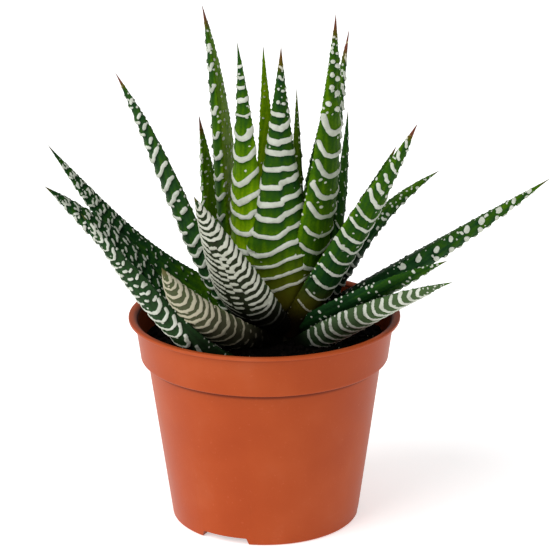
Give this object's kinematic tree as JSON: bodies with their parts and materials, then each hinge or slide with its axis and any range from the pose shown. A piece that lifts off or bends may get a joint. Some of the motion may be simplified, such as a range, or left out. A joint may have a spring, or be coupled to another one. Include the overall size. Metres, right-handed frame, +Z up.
{
  "type": "potted haworthia",
  "caption": "Rosette of stiff, pointed, white-banded succulent leaves on a short stem, growing in soil in a small tapered plastic nursery pot with a collar and drain notches.",
  "frame": {"origin": "centre of the pot's foot, on the plane that it stands on", "axes": "+Z up; -Y towards the side of the rosette with the broad upright leaf, +X to its right"},
  "size_m": [0.1621, 0.1058, 0.1735],
  "materials": {
    "pot": "injection-moulded terracotta-coloured plastic, satin",
    "soil": "dark peat potting mix, crumbly and matt",
    "stem": "pale green stem tissue, matt",
    "leaf": "green succulent skin with raised white bands, satin"
  },
  "bodies": {
    "root": {"pot": "pot", "soil": "soil", "stem": "stem", "leaf_01": "leaf", "leaf_02": "leaf", "leaf_03": "leaf", "leaf_04": "leaf", "leaf_05": "leaf", "leaf_06": "leaf", "leaf_07": "leaf", "leaf_08": "leaf", "leaf_09": "leaf", "leaf_10": "leaf", "leaf_11": "leaf", "leaf_12": "leaf", "leaf_13": "leaf", "leaf_14": "leaf", "leaf_15": "leaf", "leaf_16": "leaf", "leaf_17": "leaf", "leaf_18": "leaf", "leaf_19": "leaf", "leaf_20": "leaf", "leaf_21": "leaf", "leaf_22": "leaf", "leaf_23": "leaf", "leaf_24": "leaf", "leaf_25": "leaf", "leaf_26": "leaf"}
  },
  "joints": []
}
